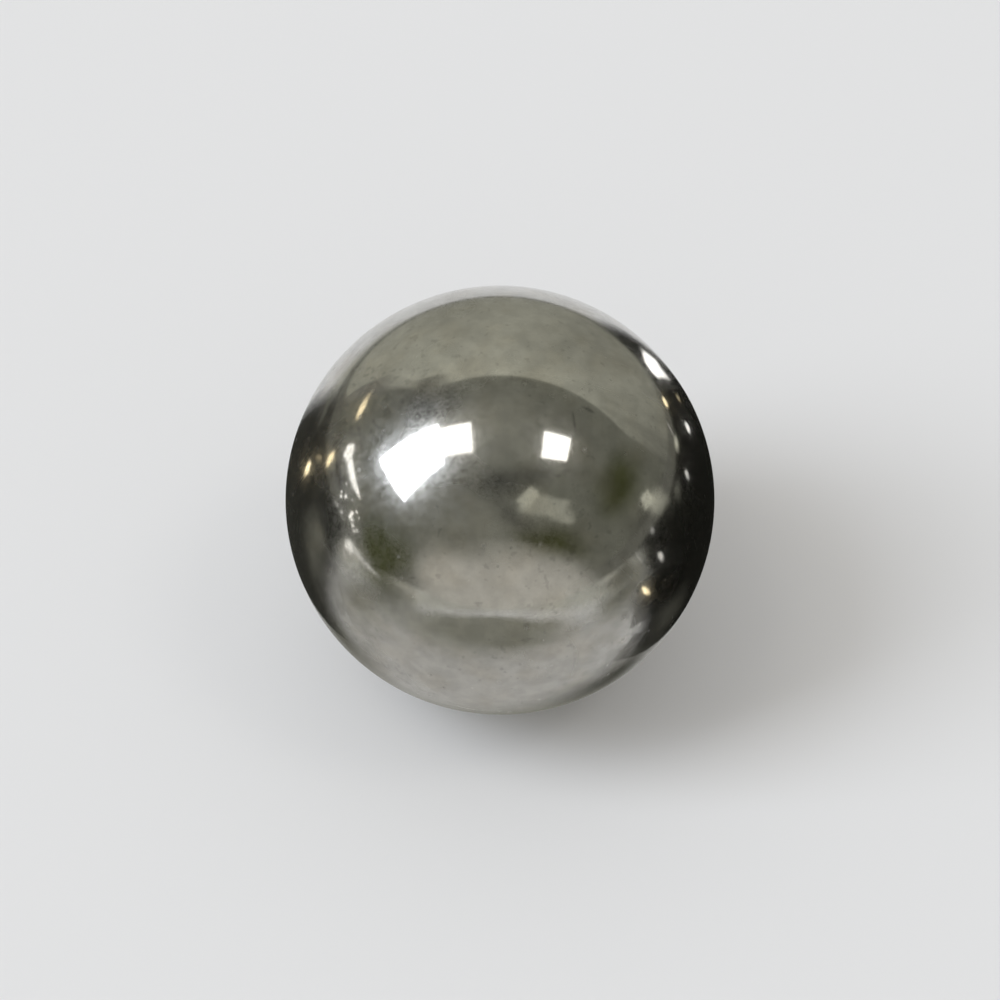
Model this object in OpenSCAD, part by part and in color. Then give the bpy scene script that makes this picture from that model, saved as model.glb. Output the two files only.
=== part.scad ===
// Polished steel ball.
// One solid piece: hardened steel, cold headed, ground and lapped to a true
// sphere, with no hole, flat or seam. The origin is the centre of the ball and
// +Z points up. All sizes are in millimetres.

/* [Ball] */
// Diameter over the lapped surface
ball_d = 25.4; // [6.35:0.05:50.8]

/* [Hidden] */

// Segments round the equator in a preview
preview_segments = 128;

polished_steel = [0.57, 0.56, 0.53];

module ball() {
    color(polished_steel)
        sphere(d = ball_d, $fn = preview_segments);
}

ball();
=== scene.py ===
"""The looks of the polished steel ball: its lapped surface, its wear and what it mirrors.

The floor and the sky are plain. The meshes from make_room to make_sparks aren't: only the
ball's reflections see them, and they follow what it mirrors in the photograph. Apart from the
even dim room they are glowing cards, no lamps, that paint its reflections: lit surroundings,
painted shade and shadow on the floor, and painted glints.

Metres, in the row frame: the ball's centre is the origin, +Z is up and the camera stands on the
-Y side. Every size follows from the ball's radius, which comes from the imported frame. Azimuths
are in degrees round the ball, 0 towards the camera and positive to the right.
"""

import math
import random

import bmesh
import bpy
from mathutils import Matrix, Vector

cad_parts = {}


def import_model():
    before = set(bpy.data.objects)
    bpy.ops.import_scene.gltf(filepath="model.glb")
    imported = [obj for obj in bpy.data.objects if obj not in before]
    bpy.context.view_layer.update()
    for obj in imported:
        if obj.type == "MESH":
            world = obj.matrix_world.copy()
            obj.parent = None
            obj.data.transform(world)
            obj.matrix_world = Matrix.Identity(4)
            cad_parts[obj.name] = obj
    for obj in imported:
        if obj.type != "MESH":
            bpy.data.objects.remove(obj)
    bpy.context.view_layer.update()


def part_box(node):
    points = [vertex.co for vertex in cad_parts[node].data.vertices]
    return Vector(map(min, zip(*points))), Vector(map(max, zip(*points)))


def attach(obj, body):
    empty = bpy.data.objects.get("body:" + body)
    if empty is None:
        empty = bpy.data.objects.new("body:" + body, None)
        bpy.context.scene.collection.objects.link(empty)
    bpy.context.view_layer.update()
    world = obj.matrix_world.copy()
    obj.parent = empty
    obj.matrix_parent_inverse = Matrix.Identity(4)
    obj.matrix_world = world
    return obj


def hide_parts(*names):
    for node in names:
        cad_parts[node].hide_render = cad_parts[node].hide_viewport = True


# Camera
CAMERA_LENS = 120.0  # mm
CAMERA_ELEVATION = 50.0  # degrees above the horizon
BALL_SHARE = 0.429  # the ball's radius over half the picture

# Ball: it is made of six square faces, bulged to a sphere
FACE_SIDES = ((1, 0, 0), (-1, 0, 0), (0, 1, 0), (0, -1, 0), (0, 0, 1), (0, 0, -1))
FACE_CELLS = 96  # cells along each side of a face
MAP_COLUMNS = 3  # faces side by side in the bake's map
MAP_ROWS = 2
MAP_MARGIN = 0.01  # gap round each face in the bake's map
JOIN_DISTANCE = 1e-5  # corners of neighbouring faces that lie closer are one, in radii

# Steel
STEEL = (0.57, 0.56, 0.53)
STAIN = (0.55, 0.53, 0.485)  # where a thin film tints it
POLISHED_ROUGHNESS = 0.07  # where nothing marks it
FROST_ROUGHNESS = 0.19  # what each kind of mark adds to that
SMUDGE_ROUGHNESS = 0.025
LINE_ROUGHNESS = 0.06
PIT_ROUGHNESS = 0.25
MOTTLE_TONES = (0.915, 1.075)  # how much of its colour it keeps in the mottle's two extremes
FLECK_TONE = 0.85
PIT_TONE = 0.78
LINE_DEPTH = 0.06  # a hairline's depth over a pit's
PIT_DEPTH = 0.001  # in radii
BUMP_STRENGTH = 0.05

# Noise patterns: scale in features to a radius, detail, and the noise levels where each one
# starts and where it is full
PATTERNS = {
    "smudge": (2.2, 3.0, 0.45, 0.70),
    "mottle": (13.0, 5.0, 0.30, 0.70),
    "stain": (6.0, 2.0, 0.40, 0.75),
    "line": (1.0, 1.0, 0.70, 0.74),
    "line_stretch": (3.0, 1.0, 0.50, 0.60),
    "fleck_group": (1.7, 1.0, 0.35, 0.65),
    "board_fold": (1.0, 1.0, 0.30, 0.70),
}

# Haze: the share of the surface that is frosted, in fine grains
HAZE_MOTTLE = (20.0, 3.0)  # scale and detail of its soft mottle
HAZE_GRAIN = (56.0, 1.0)  # and of the grains in it
HAZE_GRAIN_SHARE = 0.45
HAZE_LEVELS = (0.28, 0.72)  # noise levels where it is thinnest and thickest
HAZE_COVERS = (0.14, 0.60)  # the share that is frosted there
HAZY_SIDE = (-0.90, -0.10, 0.42)  # towards the side where it is thickest
HAZY_SIDE_RANGE = (0.1, 0.85)  # it thickens over this range of that direction
HAZE_ELSEWHERE = 0.65  # what is left of it on the other sides

# Marks
LINE_TURNS = (20.0, 115.0)  # degrees: one set of hairlines for each
LINE_SHAPE = (1.2, 60.0, 1.2)  # the noise is drawn out along the lines
FLECK_NOISE = (27.0, 2.0)  # scale and detail
FLECK_GROUP_SHIFTS = (-0.03, 0.05)  # what a group takes from or adds to that noise
FLECK_LEVELS = (0.61, 0.73)  # where a mark starts and where it is full
PIT_CELLS = 16.0  # cells to a radius, with at most one pit in each
PIT_EDGE = 0.22  # where a pit starts, in cells from its centre
PIT_FLOOR = 0.04  # where it is full
PIT_GROUP_NOISE = (2.6, 1.0)
PIT_LEVELS = (0.32, 0.56)  # chance levels where a cell starts to have a pit and has a full one

# Studio, in ball radii
FLOOR_RADIUS = 160.0
FLOOR_CORNERS = 96
FLOOR_GREY = 0.72
FLOOR_TINT = (1.0, 0.99, 0.97)
SKY_STRENGTH = 0.64
SKY_SEEN = 0.72  # the sky's level where it is seen or mirrored
ROOM = 900.0
ROOM_GLOW = (0.165, 0.167, 0.137)
CEILING = 320.0  # height of the ceiling panels over the ball

# Lights, in ceiling heights: the window's x, the y and z of its corners, and for each ceiling
# panel its name, x from, x to, y from, y to
WINDOW_X = -0.6
WINDOW_CORNERS = ((-0.35, 1.03), (-0.32, 0.36), (0.01, 0.30), (0.10, 1.03))
WINDOW_COLOUR = (0.92, 0.97, 1.06)
WINDOW_STRENGTH = 8.0
PANELS = (
    ("panel_left", -0.59, -0.25, -0.26, 0.04),
    ("panel_right", 0.40, 0.715, -0.30, -0.025),
)
PANEL_COLOUR = (1.0, 0.98, 0.94)
PANEL_STRENGTH = 3.3

# Everything below is seen by the ball's mirror alone: glowing cards, no lamps, that paint its
# reflections, painted shade, shadow and glints among them. A card covers its whole outline where
# corner and edge are 0. corner is the share of its half size that is rounded, up to 1 for an oval,
# and edge is the share of that corner over which it fades out. Its name also sets how its outline
# bends, and its place in a table sets which flat cards it lies over.
CARD_CELLS = 8  # cells along each side of a card
CARD_LIFT = 0.003  # each flat card lies this much over the one before it, in radii
CARD_WOBBLE = 0.55  # how far noise bends a card's outline
CARD_WOBBLE_SCALE = 1.3
CARD_WOBBLES = 50  # different bends that names can give
MAT_WOBBLE = 0.15  # the same for a mat, whose sides are straighter

# Tints of what the ball mirrors
NEUTRAL = (1.0, 0.99, 0.96)
PAPER = (1.0, 0.97, 0.88)
OLIVE = (1.0, 1.0, 0.84)
MOSS = (1.0, 1.10, 0.30)
WARM = (1.0, 0.84, 0.54)
DUSK = (1.0, 1.0, 0.86)

# Glowing cards that face the ball and paint what it mirrors, with angles in degrees:
# name, azimuth, elevation, distance, width, height, roll, corner, edge, level, tint
CARDS = (
    ("ceiling_glow", 0, 89, 340, 60, 60, 0, 1.0, 1.0, 0.27, OLIVE),
    ("middle_glow", -22, 34, 180, 90, 60, 0, 1.0, 1.0, 0.23, OLIVE),
    ("left_gloom", -120, 50, 170, 40, 40, 0, 1.0, 1.0, 0.06, OLIVE),
    ("front_gloom", 6, 58, 150, 58, 24, 0, 1.0, 1.0, 0.05, OLIVE),
    ("diagonal_gloom", 10, 40, 145, 46, 14, -52, 1.0, 1.0, 0.10, OLIVE),
    ("fold_gloom", 28, 23, 140, 54, 24, -30, 1.0, 0.9, 0.05, MOSS),
    ("right_gloom", 78, 22, 130, 52, 32, -8, 1.0, 1.0, 0.05, MOSS),
    ("right_low_gloom", 84, -1, 125, 50, 24, 0, 1.0, 1.0, 0.08, OLIVE),
    ("left_low_gloom", -104, -2, 125, 54, 24, 0, 1.0, 0.9, 0.01, OLIVE),
    ("fold", 33, 41, 120, 34, 14, -38, 0.5, 0.9, 0.44, OLIVE),
    ("fold_tip", 23, 49, 119, 13, 8, 25, 0.4, 0.8, 0.66, OLIVE),
    ("hanging_line", 114, 44, 118, 8, 1.4, 65, 0.8, 0.8, 0.0, OLIVE),
    ("panel_line", 104, 53, 117, 13, 1.3, 0, 0.8, 0.8, 0.02, OLIVE),
    ("front_card", 3, -2, 9, 104, 64, -16, 1.0, 0.55, 0.58, PAPER),
    ("left_blob", -54, 9, 3.1, 36, 42, 0, 1.0, 0.75, 0.06, MOSS),
    # blob_rim, blob_rim_end and blob_streak: painted highlights on the edge of the dark blob
    ("blob_rim", -61.5, -1.0, 3.0, 26, 3.2, -11, 1.0, 0.7, 1.1, NEUTRAL),
    ("blob_rim_end", -69.0, -1.3, 2.9, 7.5, 6.5, 0, 1.0, 0.7, 2.0, NEUTRAL),
    ("blob_streak", -70.0, -6.5, 2.9, 1.8, 7.0, 29, 1.0, 0.8, 0.8, NEUTRAL),
    # the strips and left_lamp: painted glints of lamps, on cards that light nothing
    ("low_strip", -95.5, 9.3, 110, 26, 4.4, -2, 1.0, 0.4, 2.6, NEUTRAL),
    ("low_strip_end", -105, 9.6, 109, 7, 7.5, 0, 0.8, 0.4, 2.6, NEUTRAL),
    ("warm_strip", -119.7, 18, 9, 13, 5.0, -17, 1.0, 0.6, 2.3, WARM),
    ("left_lamp", -107.5, 0.3, 9, 4.6, 7.5, 6, 1.0, 0.5, 3.4, WARM),
    ("right_patch", 82.8, 8.4, 3.7, 25, 13, -52, 1.0, 0.9, 0.53, OLIVE),
    ("right_patch_tip", 79.0, 13.0, 3.6, 8.0, 8.0, -8, 0.5, 1.0, 0.74, OLIVE),
    # board_corner and board_fold: painted shade on the board's left end
    ("board_corner", -133, 47, 20, 26, 34, -25, 1.0, 1.0, 0.15, OLIVE),
    ("board_fold", -130, 14, 16, 14, 64, 0, 1.0, 1.0, 0.17, PAPER),
)

# Painted shade and shadow on the floor, on soft cards:
# name, x, y, half length, half width, turn, corner, edge, level, tint
SHADES = (
    ("floor_shade", -0.8, -1.4, 4.4, 3.8, 0, 1.0, 1.0, 0.54, NEUTRAL),
    ("front_wide_shade", -0.5, -3.0, 4.4, 2.2, 0, 1.0, 1.0, 0.28, OLIVE),
    ("left_near_shade", -2.4, -1.6, 1.7, 1.1, 38, 1.0, 1.0, 0.30, OLIVE),
    ("left_front_shade", -4.2, -3.4, 3.8, 1.7, 44, 1.0, 0.8, 0.19, OLIVE),
    ("right_front_shade", 2.9, -2.2, 2.2, 1.2, -35, 1.0, 0.9, 0.22, OLIVE),
    ("right_shade", 5.8, -3.6, 5.0, 1.9, -32, 1.0, 0.9, 0.17, OLIVE),
    # the ball's painted contact shadow
    ("contact_shade", 0.05, -0.5, 1.05, 0.72, 0, 1.0, 1.0, 0.22, OLIVE),
    ("left_foot_shade", -1.05, -0.35, 0.8, 0.65, 0, 1.0, 1.0, 0.16, OLIVE),
    ("right_foot_shade", 2.4, -1.35, 0.9, 0.45, -27, 1.0, 1.0, 0.05, OLIVE),
)

# Dark mats over them, which fade at their sides and far end. The right one is painted shadow of the
# ball beside it, and dark things further out; the left one is dark things:
# name, near front, far front, far back and near back corners, corner, edge, level
SHADOW_AND_DARK_MATS = (
    ("left_mat", (-1.05, -0.58), (-16.0, -4.9), (-13.2, 14.4), (-1.1, 1.5), 0.6, 0.6, 0.030),
    ("right_mat", (0.93, -0.93), (18.0, -7.5), (4.5, 17.0), (0.97, 1.35), 0.5, 0.6, 0.010),
)

# Painted shade and shadow, lighter patches and glints over the mats:
# name, x, y, half length, half width, turn, corner, edge, level, tint
FLOOR_CARDS = (
    ("front_shade", -0.4, -4.0, 2.5, 2.5, 0, 1.0, 0.5, 0.26, OLIVE),
    ("front_near_light", 0.0, -1.7, 3.4, 1.1, 0, 1.0, 1.0, 0.56, NEUTRAL),
    ("left_patch", -3.2, 0.0, 2.0, 0.7, -10, 1.0, 1.0, 0.17, OLIVE),
    ("left_back_shade", -4.9, 4.1, 1.8, 0.9, -41, 1.0, 1.0, 0.16, OLIVE),
    # right_near_shade: the ball's painted shadow beside it, with right_edge_light a lighter patch
    # in it
    ("right_near_shade", 0.70, -0.68, 0.64, 0.52, 0, 1.0, 1.0, 0.08, OLIVE),
    ("right_edge_light", 1.35, -0.45, 0.5, 0.5, 0, 1.0, 1.0, 0.06, OLIVE),
    ("right_rim_glow", 7.4, 1.4, 2.6, 0.7, 16, 1.0, 1.0, 0.17, OLIVE),
    # rim lamps and rim lines: painted glints, on cards that light nothing
    ("rim_lamp_1", 3.55, 4.85, 2.6, 0.46, 50, 0.8, 0.5, 3.0, NEUTRAL),
    ("rim_lamp_2", 8.4, 7.3, 2.6, 0.40, 40.5, 1.0, 0.6, 2.6, WARM),
    ("rim_lamp_3", 3.3, 2.45, 0.45, 0.15, 37, 1.0, 0.6, 2.2, NEUTRAL),
    ("rim_lamp_4", 2.68, 2.78, 0.3, 0.10, 45, 1.0, 0.8, 0.9, WARM),
    ("rim_lamp_5", 4.8, 1.65, 0.75, 0.15, 22, 1.0, 0.6, 1.3, NEUTRAL),
    ("rim_lamp_6", 8.8, 4.5, 2.6, 0.7, 27, 1.0, 0.9, 0.8, OLIVE),
    ("rim_lamp_7", 3.9, -1.0, 0.70, 0.12, -16, 1.0, 0.7, 1.2, NEUTRAL),
    ("rim_lamp_8", 2.55, -1.30, 0.44, 0.07, -34, 1.0, 0.6, 3.4, WARM),
    ("rim_lamp_9", -3.75, 1.6, 0.75, 0.17, -26, 1.0, 0.6, 3.3, WARM),
    ("rim_lamp_10", -6.8, 2.85, 2.3, 0.22, -19, 1.0, 0.8, 0.55, WARM),
    ("rim_lamp_11", 12.0, -2.3, 4.0, 0.30, -9, 1.0, 0.8, 0.75, NEUTRAL),
    ("rim_line_1", 13.5, 8.4, 7.0, 0.18, 38.5, 1.0, 0.8, 0.90, NEUTRAL),
    ("rim_line_2", 7.5, -3.2, 4.2, 0.08, -23, 1.0, 0.8, 0.60, NEUTRAL),
)

# Small sparks at the left, painted glints:
# seed, count, azimuths, elevations, sizes in degrees, distance, level
SPARKS = (7, 22, (-92, -71), (-3, 10), (0.7, 2.4), 8.0, 2.8)

# The grey board behind the ball, a glowing card with painted shading:
# x from, x to, y, bottom, top, corner, edge
BOARD = (-14.5, 41.0, 10.5, -1.0, 20.5, 0.28, 0.22)
# Its painted shading: its level falls to the right and rises to the top, and folds change it
BOARD_LEVELS = (0.505, 0.22)  # at its left and right ends
BOARD_RISE = 0.10  # how much lighter it is at the top than halfway
BOARD_FOLD_SHADING = 0.13  # how much its folds change its level
BOARD_FOLD_TURN = 0.15  # radians off upright
BOARD_FOLD_SHAPE = (5.0, 0.7, 1.0)  # they are narrow across and long upwards

# Rings of painted shade on the floor, open over the ball:
# name, centre y, half width and half depth of the opening, start and end of the fade, cover, level
RINGS = (
    ("near_shade", 3.0, 3.5, 9.5, 0.80, 1.40, 0.80, 0.48),
    ("far_shade", -2.0, 10.5, 14.2, 0.70, 1.07, 1.0, 0.15),
)


def direction(azimuth, elevation):
    """The unit vector that points to an azimuth and an elevation."""
    a = math.radians(azimuth)
    e = math.radians(elevation)
    return Vector((math.sin(a) * math.cos(e), -math.cos(a) * math.cos(e), math.sin(e)))


def cell_corners(cells):
    """The numbers of each cell's four corners, in a square grid of points laid row by row."""
    row = cells + 1
    starts = [j * row + i for j in range(cells) for i in range(cells)]
    return [(k, k + 1, k + 1 + row, k + row) for k in starts]


def tinted(level, tint):
    """The colour of a tint at a level, with its alpha."""
    return (*(level * part for part in tint), 1.0)


# ---------------------------------------------------------------- shader nodes


def new_material(name):
    """An empty material with its output node."""
    made = bpy.data.materials.new(name)
    made.use_nodes = True
    made.node_tree.nodes.clear()
    made.node_tree.nodes.new("ShaderNodeOutputMaterial")
    return made, made.node_tree


def node(tree, kind, inputs=None, **settings):
    """Adds a shader node. An input is set to a value, or linked where it is given a socket."""
    made = tree.nodes.new("ShaderNode" + kind)
    for name, value in settings.items():
        setattr(made, name, value)
    for name, value in (inputs or {}).items():
        if isinstance(value, bpy.types.NodeSocket):
            tree.links.new(value, made.inputs[name])
        else:
            made.inputs[name].default_value = value
    return made


def math_node(tree, operation, *values):
    """A Math node's result."""
    return node(tree, "Math", dict(enumerate(values)), operation=operation).outputs[0]


def vector_node(tree, operation, *values):
    """A Vector Math node's outputs: Vector, or Value for a length or a dot product."""
    return node(tree, "VectorMath", dict(enumerate(values)), operation=operation).outputs


def scaled(tree, vector, scale):
    """A vector times a number."""
    inputs = {0: vector, "Scale": scale}
    return node(tree, "VectorMath", inputs, operation="SCALE").outputs["Vector"]


def smooth_step(tree, value, low, high, to_low=0.0, to_high=1.0):
    """value from low to high, eased, as a number from to_low to to_high."""
    inputs = {
        "Value": value,
        "From Min": low,
        "From Max": high,
        "To Min": to_low,
        "To Max": to_high,
    }
    return node(tree, "MapRange", inputs, interpolation_type="SMOOTHSTEP").outputs["Result"]


def noise(tree, place, scale, detail):
    """A noise from 0 to 1."""
    inputs = {"Vector": place, "Scale": scale, "Detail": detail}
    return node(tree, "TexNoise", inputs).outputs["Fac"]


def pattern(tree, place, name, to_low=0.0, to_high=1.0):
    """One of PATTERNS, from to_low where it is absent to to_high where it is full."""
    scale, detail, low, high = PATTERNS[name]
    return smooth_step(tree, noise(tree, place, scale, detail), low, high, to_low, to_high)


def finish_surface(tree, shader):
    """Links a shader to the material's output."""
    tree.links.new(shader, tree.nodes["Material Output"].inputs["Surface"])


# ---------------------------------------------------------------- ball


def ball_mesh(radius):
    """A sphere of six square faces, each cut into even cells, with one square map per face."""
    mesh = bpy.data.meshes.new("ball")
    shape = bmesh.new()
    uv = shape.loops.layers.uv.new("OFBake")
    steps = [i / FACE_CELLS for i in range(FACE_CELLS + 1)]
    mapped = 1 - 2 * MAP_MARGIN
    for index, face_side in enumerate(FACE_SIDES):
        out = Vector(face_side)
        side = Vector((out.y, out.z, out.x))
        up = out.cross(side)
        column = index % MAP_COLUMNS
        row = index // MAP_COLUMNS
        grid = []
        for v in steps:
            for u in steps:
                a = math.tan((u - 0.5) * math.pi / 2)
                b = math.tan((v - 0.5) * math.pi / 2)
                point = (out + side * a + up * b).normalized() * radius
                across = (column + MAP_MARGIN + u * mapped) / MAP_COLUMNS
                above = (row + MAP_MARGIN + v * mapped) / MAP_ROWS
                grid.append((shape.verts.new(point), (across, above)))
        for cell in cell_corners(FACE_CELLS):
            corners = [grid[k] for k in cell]
            face = shape.faces.new([vert for vert, _ in corners])
            face.smooth = True
            for loop, (_, place) in zip(face.loops, corners):
                loop[uv].uv = place
    bmesh.ops.remove_doubles(shape, verts=shape.verts, dist=radius * JOIN_DISTANCE)
    shape.to_mesh(mesh)
    shape.free()
    return mesh


def frost(tree, place):
    """1 on each grain of the haze: more of them where its noise is high and on the hazy side."""
    grain = noise(tree, place, *HAZE_GRAIN)
    mottle = noise(tree, place, *HAZE_MOTTLE)
    mottle = math_node(tree, "MULTIPLY", mottle, 1 - HAZE_GRAIN_SHARE)
    thickness = math_node(tree, "MULTIPLY_ADD", grain, HAZE_GRAIN_SHARE, mottle)
    share = smooth_step(tree, thickness, *HAZE_LEVELS, *HAZE_COVERS)
    side = vector_node(tree, "DOT_PRODUCT", place, HAZY_SIDE)["Value"]
    side = smooth_step(tree, side, *HAZY_SIDE_RANGE, HAZE_ELSEWHERE, 1.0)
    share = math_node(tree, "MULTIPLY", share, side)
    chance = node(tree, "TexWhiteNoise", {"Vector": place}, noise_dimensions="3D").outputs["Value"]
    return math_node(tree, "LESS_THAN", chance, share)


def hairlines(tree, place, turn):
    """Thin broken lines, all along one direction: 1 on a line."""
    turned = node(tree, "Mapping", {
        "Vector": place,
        "Rotation": (math.radians(turn), math.radians(turn / 2), math.radians(turn)),
        "Scale": LINE_SHAPE,
    }).outputs[0]
    line = pattern(tree, turned, "line")
    return math_node(tree, "MULTIPLY", line, pattern(tree, place, "line_stretch"))


def flecks(tree, place):
    """Soft dark marks of no set shape, thicker on some parts than on others: 1 in a mark."""
    groups = pattern(tree, place, "fleck_group", *FLECK_GROUP_SHIFTS)
    marks = math_node(tree, "ADD", noise(tree, place, *FLECK_NOISE), groups)
    return smooth_step(tree, marks, *FLECK_LEVELS)


def pits(tree, place):
    """Sparse small pits, in loose groups: 1 in a pit."""
    inputs = {"Vector": place, "Scale": PIT_CELLS}
    cells = node(tree, "TexVoronoi", inputs, feature="F1").outputs
    dot = smooth_step(tree, cells["Distance"], PIT_EDGE, PIT_FLOOR)
    chance = node(tree, "SeparateColor", {"Color": cells["Color"]}).outputs[0]
    chance = math_node(tree, "MULTIPLY", chance, noise(tree, place, *PIT_GROUP_NOISE))
    return math_node(tree, "MULTIPLY", dot, smooth_step(tree, chance, *PIT_LEVELS))


def steel_material(radius):
    """Lapped and polished steel with a frosted haze, flecks, pits, hairlines and smudges."""
    made, tree = new_material("polished_steel")
    coords = node(tree, "TexCoord").outputs["Object"]
    place = scaled(tree, coords, 1.0 / radius)
    line = math_node(tree, "MAXIMUM", *(hairlines(tree, place, turn) for turn in LINE_TURNS))
    pit = pits(tree, place)
    fleck = flecks(tree, place)
    smudge = pattern(tree, place, "smudge")

    rough = math_node(tree, "MULTIPLY_ADD", frost(tree, place), FROST_ROUGHNESS, POLISHED_ROUGHNESS)
    rough = math_node(tree, "MULTIPLY_ADD", smudge, SMUDGE_ROUGHNESS, rough)
    rough = math_node(tree, "MULTIPLY_ADD", line, LINE_ROUGHNESS, rough)
    rough = math_node(tree, "MULTIPLY_ADD", pit, PIT_ROUGHNESS, rough)

    tone = pattern(tree, place, "mottle", *MOTTLE_TONES)
    tone = math_node(tree, "MULTIPLY", tone, smooth_step(tree, fleck, 0.0, 1.0, 1.0, FLECK_TONE))
    tone = math_node(tree, "MULTIPLY", tone, smooth_step(tree, pit, 0.0, 1.0, 1.0, PIT_TONE))
    stain = pattern(tree, place, "stain")
    colours = {"Factor": stain, 6: (*STEEL, 1.0), 7: (*STAIN, 1.0)}
    tint = node(tree, "Mix", colours, data_type="RGBA").outputs[2]

    height = math_node(tree, "MULTIPLY", pit, -1.0)
    height = math_node(tree, "MULTIPLY_ADD", line, -LINE_DEPTH, height)
    relief = {"Height": height, "Strength": BUMP_STRENGTH, "Distance": radius * PIT_DEPTH}
    shader = node(tree, "BsdfPrincipled", {
        "Base Color": scaled(tree, tint, tone),
        "Metallic": 1.0,
        "Roughness": rough,
        "Normal": node(tree, "Bump", relief).outputs["Normal"],
    })
    finish_surface(tree, shader.outputs[0])
    return made


def make_ball(radius):
    """The ball, which rides on the part's one body and stands for its one solid."""
    ball = bpy.data.objects.new("polished_ball", ball_mesh(radius))
    bpy.context.scene.collection.objects.link(ball)
    ball.data.materials.append(steel_material(radius))
    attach(ball, "root")
    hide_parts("ball")


# ---------------------------------------------------------------- studio


def glow(name, colour, strength):
    """A material that gives light."""
    made, tree = new_material(name)
    shader = node(tree, "Emission", {"Color": (*colour, 1.0), "Strength": strength})
    finish_surface(tree, shader.outputs[0])
    return made


def stage_object(name, points, faces, material):
    """A mesh of the studio, from points and faces."""
    mesh = bpy.data.meshes.new(name)
    mesh.from_pydata(points, [], faces)
    mesh.materials.append(material)
    made = bpy.data.objects.new(name, mesh)
    bpy.context.scene.collection.objects.link(made)
    return made


def only_mirrored(obj):
    """The ball's reflections see this object, and nothing else does."""
    obj.visible_camera = False
    obj.visible_diffuse = False
    obj.visible_shadow = False
    obj.visible_transmission = False
    obj.visible_volume_scatter = False
    for material in obj.data.materials:
        material.cycles.emission_sampling = "NONE"


def make_floor(radius):
    """A plain pale disc under the ball."""
    made, tree = new_material("floor")
    shader = node(tree, "BsdfDiffuse", {"Color": tinted(FLOOR_GREY, FLOOR_TINT)})
    finish_surface(tree, shader.outputs[0])
    reach = FLOOR_RADIUS * radius
    turns = [2 * math.pi * i / FLOOR_CORNERS for i in range(FLOOR_CORNERS)]
    points = [(reach * math.cos(t), reach * math.sin(t), -radius) for t in turns]
    stage_object("floor", points, [tuple(range(FLOOR_CORNERS))], made)


def make_sky():
    """A plain white sky, at a level of its own where it is seen or mirrored."""
    world = bpy.data.worlds.new("sky")
    bpy.context.scene.world = world
    world.use_nodes = True
    tree = world.node_tree
    tree.nodes.clear()
    path = node(tree, "LightPath").outputs
    seen = math_node(tree, "ADD", path["Is Camera Ray"], path["Is Glossy Ray"])
    seen = math_node(tree, "ADD", seen, path["Is Transmission Ray"])
    strength = math_node(tree, "MULTIPLY_ADD", seen, SKY_SEEN - SKY_STRENGTH, SKY_STRENGTH)
    background = node(tree, "Background", {"Color": (1, 1, 1, 1), "Strength": strength})
    out = node(tree, "OutputWorld")
    tree.links.new(background.outputs[0], out.inputs["Surface"])


def make_lights(radius):
    """A tall window at the left and two square panels in the ceiling."""
    h = CEILING * radius
    daylight = glow("window_light", WINDOW_COLOUR, WINDOW_STRENGTH)
    lamp = glow("ceiling_light", PANEL_COLOUR, PANEL_STRENGTH)
    corners = [(WINDOW_X * h, y * h, z * h) for y, z in WINDOW_CORNERS]
    lights = [stage_object("window", corners, [(0, 1, 2, 3)], daylight)]
    for name, x0, x1, y0, y1 in PANELS:
        corners = [(x * h, y * h, h) for x, y in ((x0, y0), (x1, y0), (x1, y1), (x0, y1))]
        lights.append(stage_object(name, corners, [(0, 1, 2, 3)], lamp))
    for light in lights:
        light.visible_camera = False


def make_room(radius):
    """The dim room that the ball mirrors."""
    shape = bmesh.new()
    bmesh.ops.create_icosphere(shape, subdivisions=3, radius=ROOM * radius)
    mesh = bpy.data.meshes.new("room")
    shape.to_mesh(mesh)
    shape.free()
    mesh.materials.append(glow("room", ROOM_GLOW, 1.0))
    room = bpy.data.objects.new("room", mesh)
    bpy.context.scene.collection.objects.link(room)
    only_mirrored(room)


# ---------------------------------------------------------------- cards


def covered_glow(tree, cover, colour):
    """Ends a material that gives light where cover is 1 and is clear where it is 0."""
    clear = node(tree, "BsdfTransparent").outputs[0]
    light = node(tree, "Emission", {"Color": colour, "Strength": 1.0}).outputs[0]
    finish_surface(tree, node(tree, "MixShader", {0: cover, 1: clear, 2: light}).outputs[0])


def card_cover(tree, corner, edge, seed=0.0, wobble=0.0):
    """1 inside a rounded outline and 0 outside it, on a map that runs from -1 to 1."""
    place = node(tree, "UVMap").outputs["UV"]
    away = vector_node(tree, "ADD", place, (0.0, 0.0, seed))["Vector"]
    inputs = {"Vector": away, "Scale": CARD_WOBBLE_SCALE, "Detail": 0.0}
    bend = node(tree, "TexNoise", inputs).outputs["Color"]
    bend = vector_node(tree, "SUBTRACT", bend, (0.5, 0.5, 0.5))["Vector"]
    bent = vector_node(tree, "MULTIPLY_ADD", bend, (wobble, wobble, 0.0), place)["Vector"]
    out = vector_node(tree, "ABSOLUTE", bent)["Vector"]
    inner = 1.0 - corner
    out = vector_node(tree, "SUBTRACT", out, (inner, inner, 0.0))["Vector"]
    out = vector_node(tree, "MAXIMUM", out, (0.0, 0.0, 0.0))["Vector"]
    out = vector_node(tree, "MULTIPLY", out, (1.0, 1.0, 0.0))["Vector"]
    length = vector_node(tree, "LENGTH", out)["Value"]
    return smooth_step(tree, length, corner, corner * (1.0 - edge))


def card_material(name, corner, edge, level, tint, wobble=CARD_WOBBLE):
    """A plain glow inside an outline that noise bends, in a way of its own for each name."""
    made, tree = new_material(name)
    seed = float(sum(name.encode()) % CARD_WOBBLES)
    covered_glow(tree, card_cover(tree, corner, edge, seed, wobble), tinted(level, tint))
    return made


def corners_about(centre, across, above):
    """A card's four corners, from its centre and the middles of two of its sides."""
    return [
        centre - across - above,
        centre + across - above,
        centre + across + above,
        centre - across + above,
    ]


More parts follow.
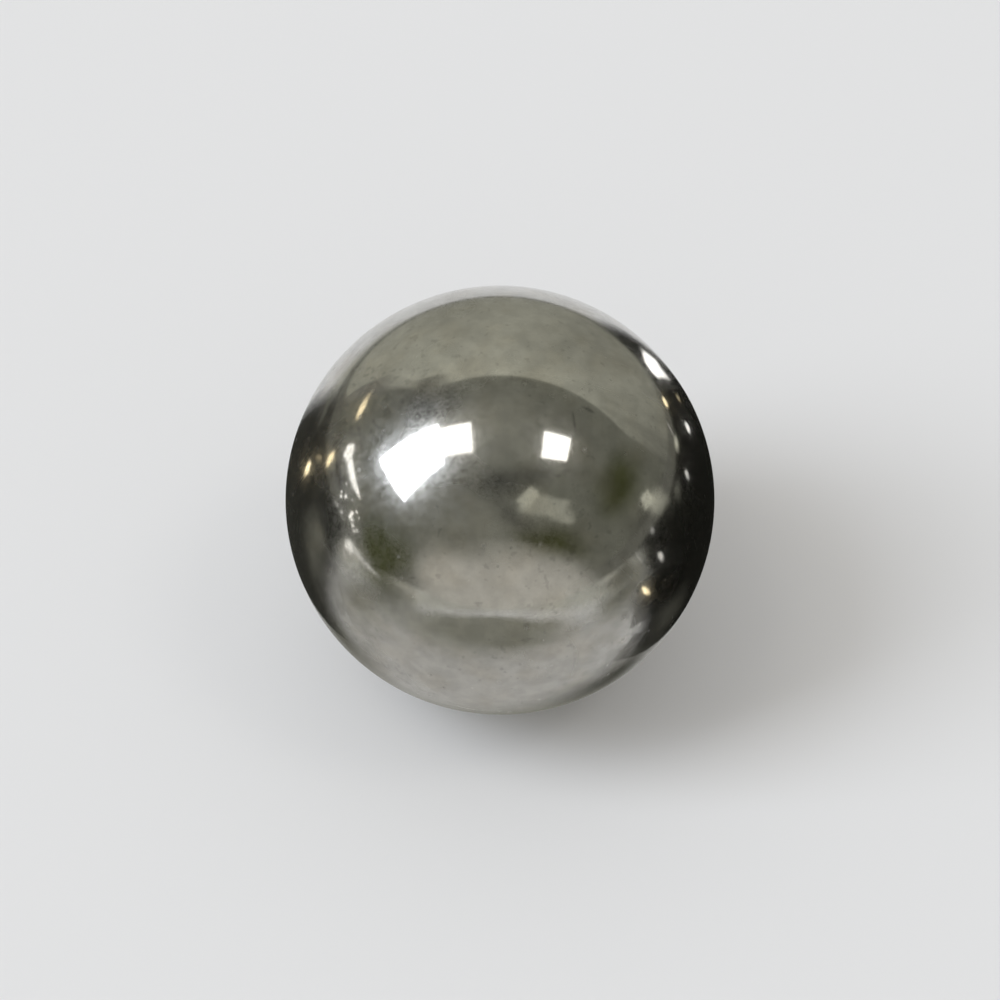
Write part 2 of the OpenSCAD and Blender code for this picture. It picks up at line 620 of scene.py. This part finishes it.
def stage_card(name, corners, material, start=-1.0):
    """A four-cornered card that only the ball mirrors.

    Its map runs from start to 1 between its first and second corners, and from -1 to 1 the other
    way. A start of 0 leaves the first side square, with the whole fade at the far one.
    """
    steps = [i / CARD_CELLS for i in range(CARD_CELLS + 1)]
    low_left, low_right, high_right, high_left = corners
    points = []
    places = []
    for v in steps:
        for u in steps:
            points.append(low_left.lerp(low_right, u).lerp(high_left.lerp(high_right, u), v))
            places.append((start + u * (1.0 - start), 2.0 * v - 1.0))
    card = stage_object(name, points, cell_corners(CARD_CELLS), material)
    uv = card.data.uv_layers.new(name="card")
    for loop, place in zip(card.data.loops, uv.data):
        place.uv = places[loop.vertex_index]
    only_mirrored(card)


def facing_card(name, radius, azimuth, elevation, distance, width, height, roll, material):
    """A card that faces the ball, with its width and height given as angles."""
    towards = direction(azimuth, elevation)
    level_right = direction(azimuth + 90, 0)
    level_up = towards.cross(level_right)
    turn = math.radians(roll)
    right = level_right * math.cos(turn) + level_up * math.sin(turn)
    up = level_up * math.cos(turn) - level_right * math.sin(turn)
    reach = distance * radius
    across = right * reach * math.tan(math.radians(width / 2))
    above = up * reach * math.tan(math.radians(height / 2))
    stage_card(name, corners_about(towards * reach, across, above), material)


def make_cards(radius):
    """What the ball mirrors of the room round it, painted on glowing cards that light nothing."""
    for name, azimuth, elevation, distance, width, height, roll, *look in CARDS:
        material = card_material(name, *look)
        facing_card(name, radius, azimuth, elevation, distance, width, height, roll, material)


def make_sparks(radius):
    """Small bright painted glints, like those of glass on a shelf, on cards that light nothing."""
    seed, count, azimuths, elevations, sizes, distance, level = SPARKS
    chance = random.Random(seed)
    material = card_material("spark", corner=1.0, edge=0.7, level=level, tint=NEUTRAL)
    for index in range(count):
        azimuth = chance.uniform(*azimuths)
        elevation = chance.uniform(*elevations)
        size = chance.uniform(*sizes)
        name = f"spark_{index + 1}"
        facing_card(name, radius, azimuth, elevation, distance, size, size, 0, material)


def flat_height(layer):
    """A flat card's height from the ball's centre, in radii. Higher layers cover lower ones."""
    return -1.0 + CARD_LIFT * (layer + 1)


def make_floor_cards(radius, cards, first_layer):
    """What the ball mirrors on the floor, painted on glowing cards, each card over the one before.
    """
    for index, (name, x, y, length, width, turn, *look) in enumerate(cards):
        centre = Vector((x, y, flat_height(first_layer + index))) * radius
        angle = math.radians(turn)
        along = Vector((math.cos(angle), math.sin(angle), 0)) * length * radius
        across = Vector((-math.sin(angle), math.cos(angle), 0)) * width * radius
        stage_card(name, corners_about(centre, along, across), card_material(name, *look))


def make_shadow_and_dark_mats(radius, first_layer):
    """Dark wedges from beside the ball outwards: its painted shadow at the right, dark things
    beyond.
    """
    for index, (name, *outline, corner, edge, level) in enumerate(SHADOW_AND_DARK_MATS):
        height = flat_height(first_layer + index)
        corners = [Vector((x, y, height)) * radius for x, y in outline]
        material = card_material(name, corner, edge, level, OLIVE, MAT_WOBBLE)
        stage_card(name, corners, material, start=0.0)


def make_board(radius):
    """A grey board behind the ball with painted shading: soft folds, darker right end, lighter top.
    """
    x0, x1, y, z0, z1, corner, edge = BOARD
    left, right = BOARD_LEVELS
    made, tree = new_material("board")
    place = node(tree, "UVMap").outputs["UV"]
    across, above, _ = node(tree, "SeparateXYZ", {0: place}).outputs
    level = math_node(tree, "MULTIPLY_ADD", across, (right - left) / 2, (left + right) / 2)
    level = math_node(tree, "MULTIPLY_ADD", above, BOARD_RISE, level)
    folded = node(tree, "Mapping", {
        "Vector": place,
        "Rotation": (0, 0, BOARD_FOLD_TURN),
        "Scale": BOARD_FOLD_SHAPE,
    }).outputs[0]
    fold_shading = pattern(tree, folded, "board_fold", 1 - BOARD_FOLD_SHADING, 1 + BOARD_FOLD_SHADING)
    level = math_node(tree, "MULTIPLY", level, fold_shading)
    covered_glow(tree, card_cover(tree, corner, edge), scaled(tree, OLIVE, level))
    corners = [(x0, y, z0), (x1, y, z0), (x1, y, z1), (x0, y, z1)]
    stage_card("board", [Vector(point) * radius for point in corners], made)


def make_rings(radius):
    """Painted shade on the floor, all round an oval opening."""
    reach = FLOOR_RADIUS * radius
    corners = [(-reach, -reach, 0), (reach, -reach, 0), (reach, reach, 0), (-reach, reach, 0)]
    for index, (name, y, half_width, half_depth, start, end, most, level) in enumerate(RINGS):
        made, tree = new_material(name)
        coords = node(tree, "TexCoord").outputs["Object"]
        opening = (half_width * radius, half_depth * radius, radius)
        place = vector_node(tree, "DIVIDE", coords, opening)["Vector"]
        length = vector_node(tree, "LENGTH", place)["Value"]
        cover = smooth_step(tree, length, start, end, 0.0, most)
        covered_glow(tree, cover, tinted(level, DUSK))
        ring = stage_object(name, corners, [(0, 1, 2, 3)], made)
        ring.location = (0, y * radius, flat_height(index) * radius)
        only_mirrored(ring)


# ---------------------------------------------------------------- camera


def make_camera(radius):
    """A camera that looks down at the ball and shows it at its share of the picture."""
    data = bpy.data.cameras.new("camera")
    data.lens = CAMERA_LENS
    half = math.atan(data.sensor_width / 2 / data.lens)
    distance = radius / math.sin(math.atan(BALL_SHARE * math.tan(half)))
    data.clip_start = distance / 100
    data.clip_end = distance * 100
    camera = bpy.data.objects.new("camera", data)
    camera.location = direction(0, CAMERA_ELEVATION) * distance
    camera.rotation_euler = (math.radians(90 - CAMERA_ELEVATION), 0, 0)
    bpy.context.scene.collection.objects.link(camera)
    bpy.context.scene.camera = camera


def main():
    """Builds the ball and its studio."""
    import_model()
    low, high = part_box("ball")
    radius = (high.z - low.z) / 2
    bpy.context.scene.view_settings.view_transform = "Standard"
    make_camera(radius)
    make_ball(radius)
    make_floor(radius)
    make_sky()
    make_lights(radius)
    make_room(radius)
    make_board(radius)
    make_rings(radius)
    make_floor_cards(radius, SHADES, len(RINGS))
    make_shadow_and_dark_mats(radius, len(RINGS + SHADES))
    make_floor_cards(radius, FLOOR_CARDS, len(RINGS + SHADES + SHADOW_AND_DARK_MATS))
    make_cards(radius)
    make_sparks(radius)


main()
